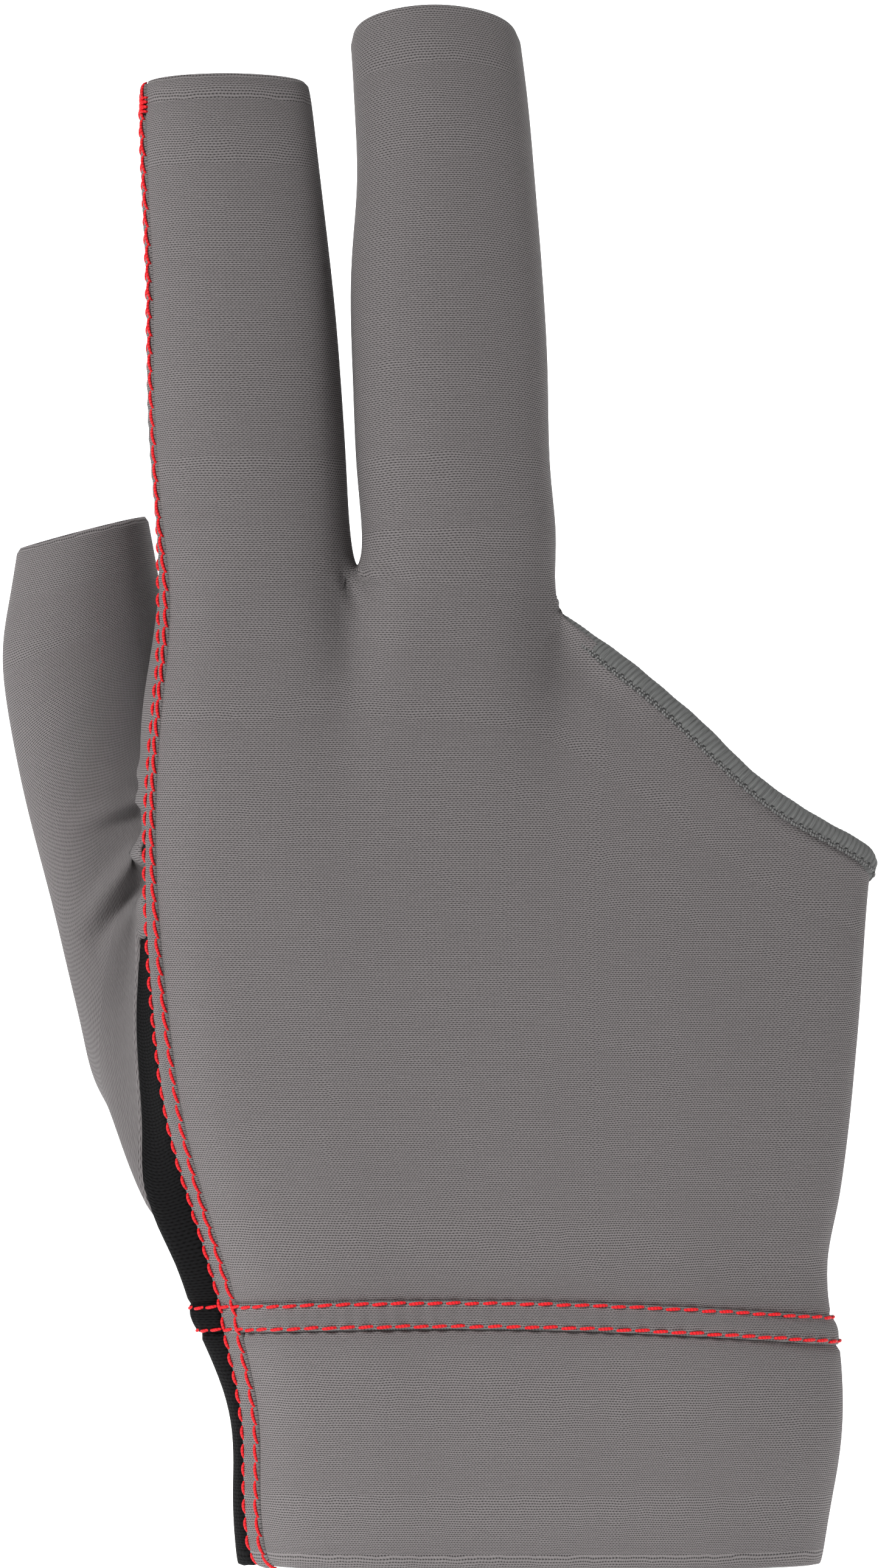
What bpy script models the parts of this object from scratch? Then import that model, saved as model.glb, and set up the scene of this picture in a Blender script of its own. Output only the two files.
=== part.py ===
"""A three-finger billiard glove for the right hand, in the form that a hand gives it.

Fingers point up +Z, the back of the hand faces -Y and the thumb is at -X.
The origin is the middle of the wrist opening, in the plane of the hem.
One cage describes the whole outer surface. It is smoothed, cut along the seams
into the glove's panels, and each panel becomes a wall of cloth.
"""
import math
from collections import namedtuple

import bpy
import numpy as np

# Driving sizes, in metres
HAND_WIDTH = 0.100
HAND_HEIGHT = 0.100
HAND_DEPTH = 0.030
CUFF_HEIGHT = 0.0328
CUFF_DEPTH = 0.034
SEAM_BAND = 0.0040
INDEX_LENGTH = 0.068
MIDDLE_LENGTH = 0.078
SLEEVE_DEPTH = 0.0175
THUMB_DEPTH = 0.0200
CLOTH = 0.0010
CUFF_CLOTH = 0.0018
SEAM_CLOTH = 0.0013
SEAM_PUFF = 0.0003
BINDING_HEIGHT = 0.0028
BINDING_THICKNESS = 0.0024
GAP = 0.0003

# The height of the upper row of topstitching above the hem
WRIST = CUFF_HEIGHT + SEAM_BAND
SMOOTH_LEVEL = 1
FIT_ROUNDS = 12
BINDING_SIDES = 10
# How far the cloth is drawn in around the opening, in depths of the drawing in
RIM_REACH = 4

# Panel numbers are the cage's material slots
PANELS = ["back_panel", "palm_panel", "thumb_sleeve", "cuff_back", "cuff_palm",
          "side_seam", "cuff_seam_back", "cuff_seam_palm"]
BACK, PALM, THUMB, CUFF_BACK, CUFF_PALM, SIDE_SEAM, BAND_BACK, BAND_PALM = range(len(PANELS))

# The web between the sleeves, above the wrist seam as a share of the hand's height
WEB_RISE = 0.990
# The columns of the hand, once around it: x between the side seam and the little finger
# side, depth on the hand and at the knuckles as shares of the hand's half depth, and the
# height of the knuckle row as a share of the hand's height. Names ending in _p are palmar.
Column = namedtuple("Column", "name across depth knuckle_depth top")
COLUMNS = [
    Column("seam_out", None, -0.30, -0.03, 0.962),
    Column("seam_in", 0.000, -0.48, -0.22, 0.966),
    Column("index_1", 0.046, -0.76, -0.48, 0.972),
    Column("index_2", 0.121, -0.92, -0.58, 0.974),
    Column("index_3", 0.204, -0.99, -0.48, 0.978),
    Column("web", 0.266, -1.00, -0.21, WEB_RISE),
    Column("middle_1", 0.322, -1.00, -0.50, 0.978),
    Column("middle_2", 0.399, -1.00, -0.61, 0.972),
    Column("middle_3", 0.487, -0.99, -0.50, 0.962),
    Column("fork", 0.557, -0.97, -0.11, 0.938),
    Column("ring_1", 0.631, -0.94, -0.38, 0.885),
    Column("ring_2", 0.749, -0.86, -0.56, 0.791),
    Column("ring_3", 0.883, -0.60, -0.45, 0.678),
    Column("side", 1.000, 0.05, 0.06, 0.604),
    Column("ring_3_p", 0.870, 0.66, 0.50, 0.592),
    Column("ring_2_p", 0.749, 0.90, 0.65, 0.677),
    Column("ring_1_p", 0.631, 0.97, 0.52, 0.792),
    Column("fork_p", 0.557, 1.00, 0.18, 0.928),
    Column("middle_3_p", 0.487, 1.00, 0.52, 0.942),
    Column("middle_2_p", 0.399, 1.00, 0.62, 0.952),
    Column("middle_1_p", 0.322, 0.99, 0.52, 0.962),
    Column("web_p", 0.266, 0.97, 0.21, 0.980),
    Column("index_3_p", 0.190, 0.93, 0.50, 0.958),
    Column("index_2_p", 0.085, 0.74, 0.56, 0.950),
    Column("heel", None, 0.16, 0.34, 0.948),
]
NAMES = [column.name for column in COLUMNS]

# Cuff rows: height as a share of the cuff's, and x as shares of the hand's width
Row = namedtuple("Row", "rise seam_out seam_in heel side front back knuckle")
CUFF_ROWS = [
    Row(0.00, -0.388, -0.366, -0.412, 0.380, 0.97, 1.00, 0),
    Row(0.07, -0.402, -0.381, -0.414, 0.386, 1.00, 1.03, 0),
    Row(0.32, -0.409, -0.388, -0.417, 0.398, 1.00, 1.03, 0),
    Row(0.66, -0.414, -0.391, -0.423, 0.411, 0.98, 1.00, 0),
    Row(1.00, -0.437, -0.413, -0.466, 0.407, 0.95, 0.97, 0),
]

# Hand rows: rise from the wrist seam to the knuckles, x as above, the depths as shares
# of the hand's half depth, and how far the knuckle form has set in
HAND_ROWS = [
    Row(0.000, -0.444, -0.420, -0.480, 0.396, 1.05, 1.08, 0.00),
    Row(0.120, -0.477, -0.456, -0.530, 0.391, 1.00, 1.13, 0.00),
    Row(0.250, -0.512, -0.489, -0.551, 0.406, 0.97, 1.16, 0.00),
    Row(0.395, -0.532, -0.511, -0.560, 0.419, 0.94, 1.13, 0.00),
    Row(0.530, -0.541, -0.524, -0.552, 0.427, 0.90, 1.10, 0.00),
    Row(0.670, -0.543, -0.530, -0.550, 0.434, 0.86, 1.03, 0.06),
    Row(0.810, -0.536, -0.524, -0.545, 0.440, 0.82, 0.95, 0.25),
    Row(0.910, -0.527, -0.515, -0.533, 0.445, 0.79, 0.88, 0.60),
    Row(1.000, -0.525, -0.512, -0.515, 0.452, 0.76, 0.80, 1.00),
]
# The thumb leaves the hand between these two hand rows
THUMB_FIRST_ROW = 1
THUMB_LAST_ROW = 6
# Below this row black cloth shows between the side seam and the thumb
WEDGE_ROW = 4

# The wrist seam sags from its highest place, a share of the hand's width, to both sides:
# this far at one hand's width from there
WRIST_CREST = -0.127
WRIST_SAG = 0.0095

# Sleeve sections: rise above the web as a share of the sleeve's length, x of both sides
# as shares of the hand's width, depth as a share of the sleeve's, the curl towards the
# palm and the lift of the section's back, both as shares of the sleeve's length
Section = namedtuple("Section", "rise left right depth curl lift")
INDEX_SECTIONS = [
    Section(0.090, -0.527, -0.263, 0.98, 0.003, 0.004),
    Section(0.225, -0.534, -0.268, 1.00, 0.012, 0.008),
    Section(0.415, -0.540, -0.277, 1.00, 0.030, 0.010),
    Section(0.620, -0.543, -0.290, 0.98, 0.054, 0.012),
    Section(0.810, -0.549, -0.304, 0.95, 0.080, 0.013),
    Section(0.940, -0.552, -0.315, 0.92, 0.099, 0.014),
    Section(0.985, -0.549, -0.321, 0.91, 0.105, 0.015),
]
MIDDLE_SECTIONS = [
    Section(0.065, -0.249, 0.020, 1.02, 0.004, 0.012),
    Section(0.190, -0.257, 0.011, 1.04, 0.016, 0.020),
    Section(0.350, -0.262, 0.009, 1.03, 0.040, 0.026),
    Section(0.530, -0.264, 0.001, 1.00, 0.076, 0.032),
    Section(0.700, -0.258, -0.008, 0.98, 0.118, 0.040),
    Section(0.850, -0.261, -0.020, 0.96, 0.158, 0.050),
    Section(0.941, -0.266, -0.029, 0.94, 0.184, 0.058),
]
# The angle of each column on its sleeve's section: 90 is the back, 180 the thumb side
INDEX_ANGLES = {"seam_out": 182, "seam_in": 163, "index_1": 130, "index_2": 92,
                "index_3": 55, "web": 20, "web_p": -20, "index_3_p": -58,
                "index_2_p": -98, "heel": -142}
MIDDLE_ANGLES = {"web": 160, "middle_1": 125, "middle_2": 90, "middle_3": 55, "fork": 20,
                 "fork_p": -20, "middle_3_p": -55, "middle_2_p": -90, "middle_1_p": -125,
                 "web_p": -160}

# Thumb sections: x and height of the outer and the inner side as shares of the hand's
# width and height, the section's middle depth and half depth as shares of the thumb's,
# and its turn about its own line in degrees
ThumbSection = namedtuple("ThumbSection", "out_x out_z in_x in_z middle half turn")
THUMB_SECTIONS = [
    ThumbSection(-0.585, 0.245, -0.462, 0.785, 0.66, 0.52, 36),
    ThumbSection(-0.630, 0.390, -0.474, 0.805, 0.72, 0.52, 30),
    ThumbSection(-0.674, 0.550, -0.490, 0.838, 0.74, 0.51, 22),
    ThumbSection(-0.718, 0.715, -0.505, 0.885, 0.74, 0.50, 14),
    ThumbSection(-0.744, 0.855, -0.520, 0.940, 0.72, 0.48, 7),
    ThumbSection(-0.736, 0.950, -0.532, 1.003, 0.70, 0.47, 3),
    ThumbSection(-0.724, 1.022, -0.544, 1.066, 0.69, 0.45, 0),
]
# The thumb hole's edge, from the palm side of its top around by the back: the column,
# the hand row and the angle on a section, where 0 is the inner side and 90 the back
THUMB_EDGE = [
    ("index_2_p", 6, 0), ("heel", 6, 35), ("heel", 5, 60), ("heel", 4, 83),
    ("heel", 3, 106), ("heel", 2, 130), ("heel", 1, 156), ("index_2_p", 1, 180),
    ("index_3_p", 1, 204), ("index_3_p", 2, 230), ("index_3_p", 3, 254),
    ("index_3_p", 4, 277), ("index_3_p", 5, 300), ("index_3_p", 6, 325),
]


class Cage:
    """Points, faces and the panel of each face."""

    def __init__(self):
        self.points = []
        self.faces = []
        self.panels = []

    def add_point(self, x, y, z):
        self.points.append((x, y, z))
        return len(self.points) - 1

    def add_face(self, corners, panel):
        self.faces.append(corners)
        self.panels.append(panel)


def wrist_sag(x):
    """How far the wrist seam lies below its highest place."""
    return WRIST_SAG * (x / HAND_WIDTH - WRIST_CREST) ** 2


def row_x(row, column):
    """The x of a column on one row of the hand or the cuff."""
    if column.name == "seam_out":
        return row.seam_out * HAND_WIDTH
    if column.name == "heel":
        return row.heel * HAND_WIDTH
    return (row.seam_in + column.across * (row.side - row.seam_in)) * HAND_WIDTH


def cuff_point(row, column):
    """A point of the cuff. Its rows follow the wrist seam's sag as they rise."""
    x = row_x(row, column)
    reach = row.front if column.depth < 0 else row.back
    y = column.depth * reach * CUFF_DEPTH / 2
    z = row.rise * (CUFF_HEIGHT - wrist_sag(x))
    return x, y, z


def hand_point(row, column):
    """A point of the hand, from the wrist seam up to the knuckles."""
    x = row_x(row, column)
    reach = row.front if column.depth < 0 else row.back
    hand_y = column.depth * reach * HAND_DEPTH / 2
    knuckle_y = column.knuckle_depth * HAND_DEPTH / 2
    y = hand_y + (knuckle_y - hand_y) * row.knuckle
    foot = WRIST - wrist_sag(x)
    top = WRIST + column.top * HAND_HEIGHT
    z = foot + (top - foot) * row.rise
    return x, y, z


def hand_panel(row_index, column_index):
    """The panel of the face above a hand row and after a column."""
    if column_index == 0:
        return SIDE_SEAM
    if NAMES[column_index] == "heel":
        return THUMB if row_index >= WEDGE_ROW else PALM
    return BACK if column_index <= NAMES.index("side") else PALM


def cuff_panel(row_index, column_index):
    """The panel of the face above a cuff row and after a column."""
    if column_index == 0:
        return SIDE_SEAM
    is_back = column_index <= NAMES.index("side")
    if row_index == len(CUFF_ROWS) - 1:
        return BAND_BACK if is_back else BAND_PALM
    return CUFF_BACK if is_back else CUFF_PALM


def thumb_hole(row_index, column_index):
    """Whether a face of the hand is cut out for the thumb."""
    in_rows = THUMB_FIRST_ROW <= row_index < THUMB_LAST_ROW
    return in_rows and NAMES[column_index] in ("index_3_p", "index_2_p")


def add_hand(cage):
    """Add the cuff and the hand, and return the point numbers by row."""
    rows = [[cage.add_point(*cuff_point(row, column)) for column in COLUMNS]
            for row in CUFF_ROWS]
    rows += [[cage.add_point(*hand_point(row, column)) for column in COLUMNS]
             for row in HAND_ROWS]
    count = len(COLUMNS)
    for level in range(len(rows) - 1):
        hand_level = level - len(CUFF_ROWS)
        for index in range(count):
            after = (index + 1) % count
            if hand_level >= 0 and thumb_hole(hand_level, index):
                continue
            panel = cuff_panel(level, index) if hand_level < 0 else hand_panel(hand_level, index)
            corners = (rows[level][index], rows[level][after],
                       rows[level + 1][after], rows[level + 1][index])
            cage.add_face(corners, panel)
    return rows[len(CUFF_ROWS):]


def sleeve_point(section, angle, length):
    """A point on a finger sleeve's section."""
    middle_x = (section.left + section.right) / 2 * HAND_WIDTH
    half_width = (section.right - section.left) / 2 * HAND_WIDTH
    turn = math.radians(angle)
    x = middle_x + half_width * math.cos(turn)
    y = section.curl * length - section.depth * SLEEVE_DEPTH / 2 * math.sin(turn)
    z = WRIST + WEB_RISE * HAND_HEIGHT + (section.rise + section.lift * math.sin(turn)) * length
    return x, y, z


def add_sleeve(cage, knuckles, sections, angles, length):
    """Add a finger sleeve on its part of the knuckle row."""
    names = list(angles)
    ring = [knuckles[NAMES.index(name)] for name in names]
    for section in sections:
        upper = [cage.add_point(*sleeve_point(section, angles[name], length)) for name in names]
        for index, name in enumerate(names):
            after = (index + 1) % len(names)
            panel = SIDE_SEAM if name == "seam_out" else BACK
            cage.add_face((ring[index], ring[after], upper[after], upper[index]), panel)
        ring = upper


def thumb_point(section, angle):
    """A point on one of the thumb's sections."""
    outer = np.array([section.out_x * HAND_WIDTH, 0, WRIST + section.out_z * HAND_HEIGHT])
    inner = np.array([section.in_x * HAND_WIDTH, 0, WRIST + section.in_z * HAND_HEIGHT])
    middle = (outer + inner) / 2
    middle[1] = section.middle * THUMB_DEPTH
    turn = math.radians(section.turn)
    back = np.array([-math.sin(turn), -math.cos(turn), 0]) * section.half * THUMB_DEPTH
    around = math.radians(angle)
    return middle + (inner - outer) / 2 * math.cos(around) + back * math.sin(around)


def add_thumb(cage, hand_rows):
    """Add the thumb sleeve on the edge of its hole."""
    ring = [hand_rows[row][NAMES.index(name)] for name, row, _ in THUMB_EDGE]
    for section in THUMB_SECTIONS:
        upper = [cage.add_point(*thumb_point(section, angle)) for _, _, angle in THUMB_EDGE]
        for index in range(len(ring)):
            after = (index + 1) % len(ring)
            cage.add_face((ring[after], ring[index], upper[index], upper[after]), THUMB)
        ring = upper


def glove_cage():
    """The whole glove as a cage, with the number of the opening's side point."""
    cage = Cage()
    hand_rows = add_hand(cage)
    knuckles = hand_rows[-1]
    add_sleeve(cage, knuckles, INDEX_SECTIONS, INDEX_ANGLES, INDEX_LENGTH)
    add_sleeve(cage, knuckles, MIDDLE_SECTIONS, MIDDLE_ANGLES, MIDDLE_LENGTH)
    add_thumb(cage, hand_rows)
    return cage, knuckles[NAMES.index("side")]


def read_points(mesh):
    """The points of a mesh as an array."""
    points = np.empty(len(mesh.vertices) * 3)
    mesh.vertices.foreach_get("co", points)
    return points.reshape(-1, 3)


def smooth_surface(cage):
    """Subdivide the cage so that the surface passes through its points."""
    target = np.array(cage.points)
    mesh = bpy.data.meshes.new("cage")
    mesh.from_pydata(cage.points, [], cage.faces)
    for panel in PANELS:
        mesh.materials.append(bpy.data.materials.new("cage_" + panel))
    mesh.polygons.foreach_set("material_index", cage.panels)
    helper = bpy.data.objects.new("cage", mesh)
    bpy.context.scene.collection.objects.link(helper)
    smooth = helper.modifiers.new("smooth", "SUBSURF")
    smooth.levels = SMOOTH_LEVEL
    smooth.render_levels = SMOOTH_LEVEL
    for _ in range(FIT_ROUNDS):
        bpy.context.view_layer.update()
        reached = read_points(helper.evaluated_get(bpy.context.evaluated_depsgraph_get()).data)
        moved = read_points(mesh) + target - reached[:len(target)]
        mesh.vertices.foreach_set("co", moved.ravel())
        mesh.update()
    bpy.context.view_layer.update()
    evaluated = helper.evaluated_get(bpy.context.evaluated_depsgraph_get()).data
    points = read_points(evaluated)
    normals = np.array([tuple(vertex.normal) for vertex in evaluated.vertices])
    faces = [tuple(face.vertices) for face in evaluated.polygons]
    panels = [face.material_index for face in evaluated.polygons]
    bpy.data.objects.remove(helper, do_unlink=True)
    for material in list(mesh.materials):
        bpy.data.materials.remove(material)
    bpy.data.meshes.remove(mesh)
    return points, normals, faces, panels


def directed_edges(faces):
    """The boundary edges of some faces, by their first point, in the faces' direction."""
    edges = {}
    for face in faces:
        for first, second in zip(face, face[1:] + face[:1]):
            edges[(first, second)] = face
    return {pair: face for pair, face in edges.items() if pair[::-1] not in edges}


def unit(vector):
    """A vector of length one."""
    return vector / np.linalg.norm(vector)


def edge_inward(points, normals, pair):
    """The direction in the surface that leads from a boundary edge into the cloth."""
    first, second = pair
    along = points[second] - points[first]
    normal = normals[first] + normals[second]
    return unit(np.cross(normal, along))


def pull_back(before, after, set_before, set_after):
    """The step that moves a corner in from both of its edges, with a bounded mitre."""
    cosine = float(np.dot(before, after))
    longest = 1.5 * max(set_before, set_after)
    if cosine > 0.98:
        return unit(before + after) * max(set_before, set_after)
    first = (set_before - cosine * set_after) / (1 - cosine ** 2)
    second = (set_after - cosine * set_before) / (1 - cosine ** 2)
    step = before * first + after * second
    length = np.linalg.norm(step)
    return step * min(1, longest / length)


def rim_loop(faces, start):
    """The boundary loop of the whole surface that holds a point."""
    following = {first: second for first, second in directed_edges(faces)}
    loop = [start]
    while following[loop[-1]] != start:
        loop.append(following[loop[-1]])
    return loop


def rim_inwards(points, normals, rim):
    """The direction into the cloth at each point of the opening's rim."""
    directions = []
    for index, point in enumerate(rim):
        before = edge_inward(points, normals, (rim[index - 1], point))
        after = edge_inward(points, normals, (point, rim[(index + 1) % len(rim)]))
        directions.append(unit(before + after))
    return np.array(directions)


def clear_binding(points, normals, rim):
    """Draw the cloth in around the opening, so that its edge clears the binding."""
    depth = BINDING_HEIGHT + GAP
    inwards = rim_inwards(points, normals, rim)
    following = np.roll(inwards, -1, axis=0)
    starts = points[rim]
    runs = np.roll(starts, -1, axis=0) - starts
    moved = points.copy()
    for index, point in enumerate(points):
        share = np.sum((point - starts) * runs, axis=1) / np.sum(runs ** 2, axis=1)
        share = np.clip(share, 0, 1)[:, None]
        away = np.linalg.norm(point - starts - share * runs, axis=1)
        nearest = int(np.argmin(away))
        fade = 1 - away[nearest] / (depth * RIM_REACH)
        if fade <= 0:
            continue
        inward = inwards[nearest] * (1 - share[nearest]) + following[nearest] * share[nearest]
        inward -= normals[index] * float(np.dot(inward, normals[index]))
        moved[index] += unit(inward) * depth * fade
    return moved


def panel_wall(points, normals, faces, rim, wall, puff):
    """The points and faces of one panel as a wall of cloth."""
    used = sorted({corner for face in faces for corner in face})
    place = {corner: index for index, corner in enumerate(used)}
    boundary = directed_edges(faces)
    rim_pairs = set(zip(rim, rim[1:] + rim[:1]))
    entering = {pair[1]: pair for pair in boundary}
    moved = {corner: points[corner].copy() for corner in used}
    for pair in boundary:
        before = entering[pair[0]]
        depths = [0 if edge in rim_pairs else GAP / 2 for edge in (before, pair)]
        if not any(depths):
            continue
        inwards = [edge_inward(points, normals, edge) for edge in (before, pair)]
        moved[pair[0]] += pull_back(*inwards, *depths)
    outer = [moved[corner] + normals[corner] * puff for corner in used]
    inner = [moved[corner] - normals[corner] * wall for corner in used]
    count = len(used)
    solid = [tuple(place[corner] for corner in face) for face in faces]
    solid += [tuple(place[corner] + count for corner in reversed(face)) for face in faces]
    for first, second in boundary:
        start, end = place[first], place[second]
        solid.append((end, start, start + count, end + count))
    return outer + inner, solid


def binding_ring(points, normals, rim):
    """The rolled edge: an oval section swept around the opening's rim."""
    corners = []
    count = len(rim)
    for point, inward in zip(rim, rim_inwards(points, normals, rim)):
        normal = unit(normals[point] - inward * float(np.dot(normals[point], inward)))
        centre = points[point] + inward * BINDING_HEIGHT / 2 - normal * CLOTH / 2
        for side in range(BINDING_SIDES):
            turn = 2 * math.pi * side / BINDING_SIDES
            corners.append(centre + inward * math.cos(turn) * BINDING_HEIGHT / 2
                           + normal * math.sin(turn) * BINDING_THICKNESS / 2)
    faces = []
    for index in range(count):
        after = (index + 1) % count
        for side in range(BINDING_SIDES):
            beside = (side + 1) % BINDING_SIDES
            faces.append((index * BINDING_SIDES + side, index * BINDING_SIDES + beside,
                          after * BINDING_SIDES + beside, after * BINDING_SIDES + side))
    return corners, faces


def cloth_material(name, color, roughness):
    """A plain cloth material."""
    material = bpy.data.materials.new(name)
    material.use_nodes = True
    shader = material.node_tree.nodes["Principled BSDF"]
    shader.inputs["Base Color"].default_value = (*color, 1)
    shader.inputs["Roughness"].default_value = roughness
    shader.inputs["Metallic"].default_value = 0
    material.diffuse_color = (*color, 1)
    return material


def add_piece(name, points, faces, material):
    """Add one named piece with its own material."""
    mesh = bpy.data.meshes.new(name)
    mesh.from_pydata([tuple(point) for point in points], [], faces)
    mesh.polygons.foreach_set("use_smooth", [True] * len(faces))
    mesh.materials.append(material)
    piece = bpy.data.objects.new(name, mesh)
    bpy.context.scene.collection.objects.link(piece)


# Each panel's wall thickness, its puff above the surface and its linear colour
GREY = (0.17, 0.16, 0.16)
BLACK = (0.012, 0.012, 0.013)
PANEL_FORMS = {
    "back_panel": (CLOTH, 0, GREY),
    "palm_panel": (CLOTH, 0, BLACK),
    "thumb_sleeve": (CLOTH, 0, GREY),
    "cuff_back": (CUFF_CLOTH, 0, GREY),
    "cuff_palm": (CUFF_CLOTH, 0, BLACK),
    "side_seam": (SEAM_CLOTH, SEAM_PUFF, GREY),
    "cuff_seam_back": (SEAM_CLOTH, SEAM_PUFF, GREY),
    "cuff_seam_palm": (SEAM_CLOTH, SEAM_PUFF, BLACK),
}
KNIT_ROUGHNESS = 0.85
BINDING_GREY = (0.14, 0.135, 0.13)


def main():
    for thing in list(bpy.data.objects):
        bpy.data.objects.remove(thing, do_unlink=True)
    cage, side_point = glove_cage()
    points, normals, faces, panels = smooth_surface(cage)
    rim = rim_loop(faces, side_point)
    cloth_points = clear_binding(points, normals, rim)
    for number, name in enumerate(PANELS):
        wall, puff, color = PANEL_FORMS[name]
        own_faces = [face for face, panel in zip(faces, panels) if panel == number]
        material = cloth_material(name, color, KNIT_ROUGHNESS)
        solid = panel_wall(cloth_points, normals, own_faces, rim, wall, puff)
        add_piece(name, *solid, material)
    material = cloth_material("opening_binding", BINDING_GREY, KNIT_ROUGHNESS)
    add_piece("opening_binding", *binding_ring(points, normals, rim), material)


main()
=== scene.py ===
"""The looks of a three-finger billiard glove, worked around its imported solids.

The glove's cage is the one that its solids are cut from, smoothed further here. Each
panel is dressed as knit cloth with its folds, and the seams get their topstitching.
"""
import math
from collections import namedtuple

import bpy
import numpy as np
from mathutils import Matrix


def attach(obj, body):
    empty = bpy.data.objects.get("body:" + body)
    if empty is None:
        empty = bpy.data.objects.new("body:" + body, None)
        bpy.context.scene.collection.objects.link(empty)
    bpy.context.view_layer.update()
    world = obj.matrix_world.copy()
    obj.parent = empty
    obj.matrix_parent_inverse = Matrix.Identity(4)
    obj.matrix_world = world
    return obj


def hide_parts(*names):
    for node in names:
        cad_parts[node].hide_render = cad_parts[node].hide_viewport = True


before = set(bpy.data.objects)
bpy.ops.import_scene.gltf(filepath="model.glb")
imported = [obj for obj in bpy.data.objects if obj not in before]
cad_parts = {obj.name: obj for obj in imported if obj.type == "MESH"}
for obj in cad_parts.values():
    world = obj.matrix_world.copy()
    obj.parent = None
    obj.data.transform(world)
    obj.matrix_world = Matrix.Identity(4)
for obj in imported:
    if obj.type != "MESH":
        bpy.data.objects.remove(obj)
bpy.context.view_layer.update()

# Sizes of the glove, in metres
HAND_WIDTH = 0.100
HAND_HEIGHT = 0.100
HAND_DEPTH = 0.030
CUFF_HEIGHT = 0.0328
CUFF_DEPTH = 0.034
SEAM_BAND = 0.0040
INDEX_LENGTH = 0.068
MIDDLE_LENGTH = 0.078
SLEEVE_DEPTH = 0.0175
THUMB_DEPTH = 0.0200
CLOTH = 0.0010
CUFF_CLOTH = 0.0018
SEAM_CLOTH = 0.0013
SEAM_PUFF = 0.0003
BINDING_HEIGHT = 0.0028
BINDING_THICKNESS = 0.0024
WRIST = CUFF_HEIGHT + SEAM_BAND
FIT_ROUNDS = 12

# The photograph's frame: pixels for each millimetre, and the pixel at x = 0 and z = 0
PHOTO_WIDTH = 1443
PHOTO_HEIGHT = 2576
PIXELS_PER_MM = 12.0
ORIGIN_PIXEL = (892, 2570)
LENS = 300
SENSOR = 36

# Each panel: its wall, its level of smoothing and its yarn
PANELS = {
    "back_panel": (CLOTH, 3, "grey"),
    "palm_panel": (CLOTH, 3, "black"),
    "thumb_sleeve": (CLOTH, 4, "grey"),
    "cuff_back": (CUFF_CLOTH, 3, "grey"),
    "cuff_palm": (CUFF_CLOTH, 3, "black"),
    "side_seam": (SEAM_CLOTH, 4, "grey"),
    "cuff_seam_back": (SEAM_CLOTH, 4, "grey"),
    "cuff_seam_palm": (SEAM_CLOTH, 4, "black"),
}
BACK, PALM, THUMB, CUFF_BACK, CUFF_PALM, SIDE_SEAM, BAND_BACK, BAND_PALM = range(len(PANELS))
STRIPS = (SIDE_SEAM, BAND_BACK, BAND_PALM)

# The columns of the hand, as in the solids
WEB_RISE = 0.990
Column = namedtuple("Column", "name across depth knuckle_depth top")
COLUMNS = [
    Column("seam_out", None, -0.30, -0.03, 0.962),
    Column("seam_in", 0.000, -0.48, -0.22, 0.966),
    Column("index_1", 0.046, -0.76, -0.48, 0.972),
    Column("index_2", 0.121, -0.92, -0.58, 0.974),
    Column("index_3", 0.204, -0.99, -0.48, 0.978),
    Column("web", 0.266, -1.00, -0.21, WEB_RISE),
    Column("middle_1", 0.322, -1.00, -0.50, 0.978),
    Column("middle_2", 0.399, -1.00, -0.61, 0.972),
    Column("middle_3", 0.487, -0.99, -0.50, 0.962),
    Column("fork", 0.557, -0.97, -0.11, 0.938),
    Column("ring_1", 0.631, -0.94, -0.38, 0.885),
    Column("ring_2", 0.749, -0.86, -0.56, 0.791),
    Column("ring_3", 0.883, -0.60, -0.45, 0.678),
    Column("side", 1.000, 0.05, 0.06, 0.604),
    Column("ring_3_p", 0.870, 0.66, 0.50, 0.592),
    Column("ring_2_p", 0.749, 0.90, 0.65, 0.677),
    Column("ring_1_p", 0.631, 0.97, 0.52, 0.792),
    Column("fork_p", 0.557, 1.00, 0.18, 0.928),
    Column("middle_3_p", 0.487, 1.00, 0.52, 0.942),
    Column("middle_2_p", 0.399, 1.00, 0.62, 0.952),
    Column("middle_1_p", 0.322, 0.99, 0.52, 0.962),
    Column("web_p", 0.266, 0.97, 0.21, 0.980),
    Column("index_3_p", 0.190, 0.93, 0.50, 0.958),
    Column("index_2_p", 0.085, 0.74, 0.56, 0.950),
    Column("heel", None, 0.16, 0.34, 0.948),
]
NAMES = [column.name for column in COLUMNS]

Row = namedtuple("Row", "rise seam_out seam_in heel side front back knuckle")
CUFF_ROWS = [
    Row(0.00, -0.388, -0.366, -0.412, 0.380, 0.97, 1.00, 0),
    Row(0.07, -0.402, -0.381, -0.414, 0.386, 1.00, 1.03, 0),
    Row(0.32, -0.409, -0.388, -0.417, 0.398, 1.00, 1.03, 0),
    Row(0.66, -0.414, -0.391, -0.423, 0.411, 0.98, 1.00, 0),
    Row(1.00, -0.437, -0.413, -0.466, 0.407, 0.95, 0.97, 0),
]
HAND_ROWS = [
    Row(0.000, -0.444, -0.420, -0.480, 0.396, 1.05, 1.08, 0.00),
    Row(0.120, -0.477, -0.456, -0.530, 0.391, 1.00, 1.13, 0.00),
    Row(0.250, -0.512, -0.489, -0.551, 0.406, 0.97, 1.16, 0.00),
    Row(0.395, -0.532, -0.511, -0.560, 0.419, 0.94, 1.13, 0.00),
    Row(0.530, -0.541, -0.524, -0.552, 0.427, 0.90, 1.10, 0.00),
    Row(0.670, -0.543, -0.530, -0.550, 0.434, 0.86, 1.03, 0.06),
    Row(0.810, -0.536, -0.524, -0.545, 0.440, 0.82, 0.95, 0.25),
    Row(0.910, -0.527, -0.515, -0.533, 0.445, 0.79, 0.88, 0.60),
    Row(1.000, -0.525, -0.512, -0.515, 0.452, 0.76, 0.80, 1.00),
]
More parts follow.
